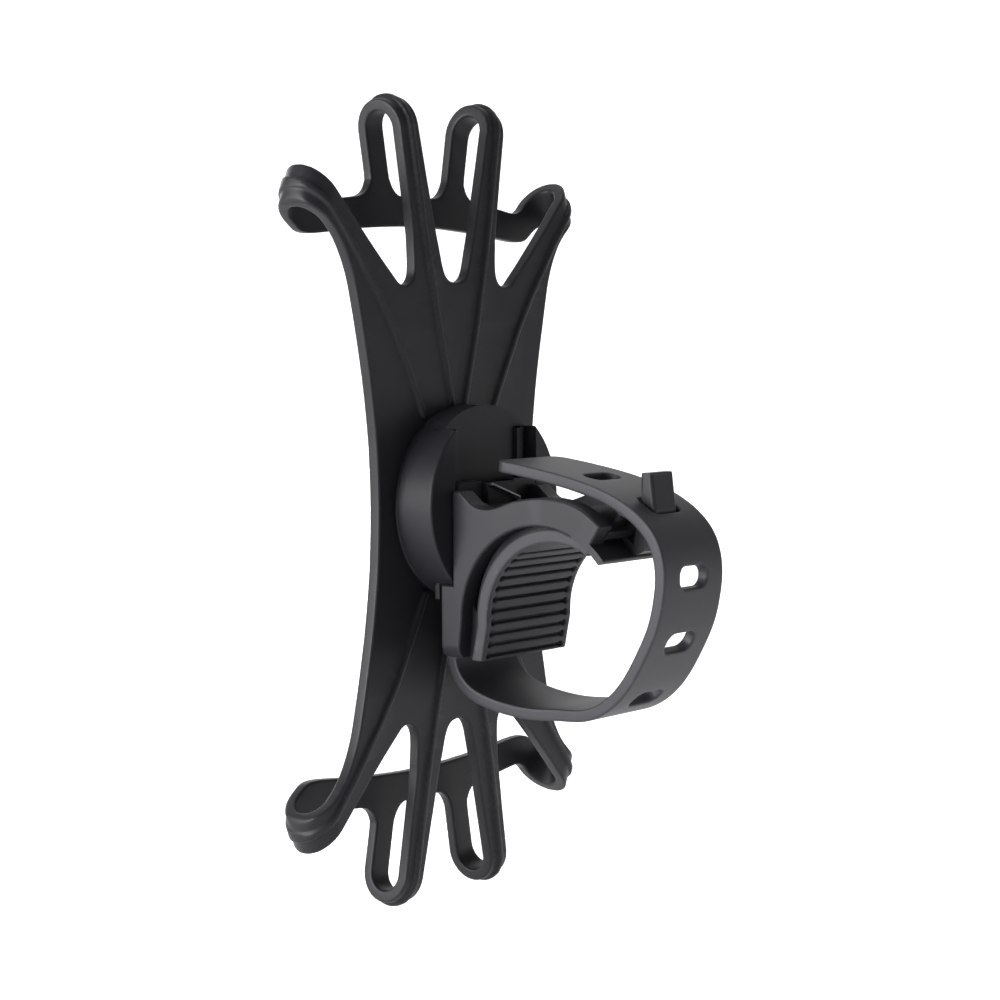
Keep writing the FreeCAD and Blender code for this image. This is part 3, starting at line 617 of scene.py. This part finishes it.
LOOK = {"front_cap": M_CAP, "swivel_flange": M_INNER, "hub_housing": M_HUB, "threaded_insert": M_BRASS,
        "spindle_screw": M_STEEL, "wave_washer": M_STEEL, "friction_ring": M_RING, "rail_plate": M_HOOK,
        "rail_screws": M_STEEL, "latch_leaf": M_STEEL, "leaf_screw": M_STEEL, "release_lever": M_HOOK,
        "lever_pin": M_STEEL, "lever_spring": M_STEEL, "saddle": M_CLAMP, "hook_screw": M_STEEL,
        "strap_hook": M_HOOK, "rubber_pad": M_PAD, "strap_root": M_STRAP, "strap_lower": M_STRAP,
        "strap_front": M_STRAP, "strap_tail": M_STRAP, "strap_anchor_bar": M_CLAMP,
        "anchor_screws": M_STEEL, "silicone_cradle": M_CRADLE}
for node, mat in LOOK.items():
    paint(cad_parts[node], mat)

# ------------------------------------------------------------------ light and floor
world = bpy.data.worlds.new("studio")
bpy.context.scene.world = world
world.use_nodes = True
world.node_tree.nodes["Background"].inputs[0].default_value = (1, 1, 1, 1)
world.node_tree.nodes["Background"].inputs[1].default_value = 0.12
bpy.context.scene.view_settings.view_transform = "Standard"
bpy.context.scene.view_settings.look = "None"


def area(name, loc, aim, size, watts):
    """Soft rectangular lamp that is not itself seen."""
    d = bpy.data.lights.new(name, "AREA")
    d.shape = "RECTANGLE"
    d.size, d.size_y = size
    d.energy = watts
    o = bpy.data.objects.new(name, d)
    bpy.context.scene.collection.objects.link(o)
    o.location = loc
    o.rotation_euler = (Vector(aim) - Vector(loc)).to_track_quat("-Z", "Y").to_euler()
    o.visible_camera = False
    return o


area("side", (0.82, -0.32, 0.10), (0, 0, 0), (0.55, 0.50), 17.0)
area("top", (-0.10, -0.20, 0.90), (0, 0, 0), (0.80, 0.80), 3.0)
area("front fill", (-0.25, -0.95, 0.25), (0, 0, 0), (0.7, 0.6), 5.0)

# pale floor that curves up into a wall all round, with painted light: the flat floor and the wall beyond the object
# are painted pale and made to glow, and the wall behind the camera is painted darker as shade
FLOOR_Z = -0.0605
FLAT_R, COVE_R, WALL_H = 0.55, 0.95, 2.4
prof = [(0.0, FLOOR_Z), (0.3, FLOOR_Z)]
for k in range(25):
    a = math.pi / 2 * k / 24
    prof.append((FLAT_R + COVE_R * math.sin(a), FLOOR_Z + COVE_R * (1 - math.cos(a))))
prof.append((FLAT_R + COVE_R, FLOOR_Z + WALL_H))
N = 96
cv = [(0.0, 0.0, FLOOR_Z)]
for r, z in prof[1:]:
    for k in range(N):
        a = 2 * math.pi * k / N
        cv.append((r * math.cos(a), r * math.sin(a), z))
cf = [(0, 1 + k, 1 + (k + 1) % N) for k in range(N)]
for i in range(len(prof) - 2):
    for k in range(N):
        a, b = 1 + i * N + k, 1 + i * N + (k + 1) % N
        cf.append((a, a + N, b + N, b))
floor = new_mesh("floor", cv, cf)
fm = bpy.data.materials.new("pale floor")
fm.use_nodes = True
fb = fm.node_tree.nodes["Principled BSDF"]
fb.inputs["Roughness"].default_value = 0.9
fb.inputs["Specular IOR Level"].default_value = 0.1
fn, fl = fm.node_tree.nodes, fm.node_tree.links
where = fn.new("ShaderNodeTexCoord")
parts = []
for way, lo, hi in (((-0.77, -0.64, 0.0), -0.28, 0.12), ((0.64, -0.77, 0.0), 1.0, 0.6),
                    ((-0.64, 0.77, 0.0), 1.0, 0.6)):
    along = fn.new("ShaderNodeVectorMath")
    along.operation = "DOT_PRODUCT"
    along.inputs[1].default_value = way
    fl.new(where.outputs["Object"], along.inputs[0])
    ease = fn.new("ShaderNodeMapRange")
    ease.interpolation_type = "SMOOTHSTEP"
    ease.inputs["From Min"].default_value = lo
    ease.inputs["From Max"].default_value = hi
    fl.new(along.outputs["Value"], ease.inputs["Value"])
    parts.append(ease.outputs["Result"])
painted_light_mask = parts[0]
for other in parts[1:]:
    both = fn.new("ShaderNodeMath")
    both.operation = "MULTIPLY"
    fl.new(painted_light_mask, both.inputs[0])
    fl.new(other, both.inputs[1])
    painted_light_mask = both.outputs[0]
split = fn.new("ShaderNodeSeparateXYZ")
fl.new(where.outputs["Object"], split.inputs[0])
flat = fn.new("ShaderNodeMapRange")
flat.interpolation_type = "SMOOTHSTEP"
flat.inputs["From Min"].default_value = 0.16
flat.inputs["From Max"].default_value = -0.06
fl.new(split.outputs["Z"], flat.inputs["Value"])
either = fn.new("ShaderNodeMath")
either.operation = "MAXIMUM"
fl.new(painted_light_mask, either.inputs[0])
fl.new(flat.outputs["Result"], either.inputs[1])
painted_light_mask = either.outputs[0]
# painted light: paler colour and glow on the flat floor and the far wall, painted shade on the wall behind the camera
painted_light_tint = fn.new("ShaderNodeMapRange")
painted_light_tint.inputs["To Min"].default_value = 0.36
painted_light_tint.inputs["To Max"].default_value = 0.86
fl.new(painted_light_mask, painted_light_tint.inputs["Value"])
glow = fn.new("ShaderNodeMapRange")
glow.inputs["To Min"].default_value = 0.10
glow.inputs["To Max"].default_value = 0.62
fl.new(painted_light_mask, glow.inputs["Value"])
fl.new(painted_light_tint.outputs["Result"], fb.inputs["Base Color"])
fl.new(glow.outputs["Result"], fb.inputs["Emission Strength"])
fb.inputs["Emission Color"].default_value = (1, 1, 1, 1)
paint(floor, fm)
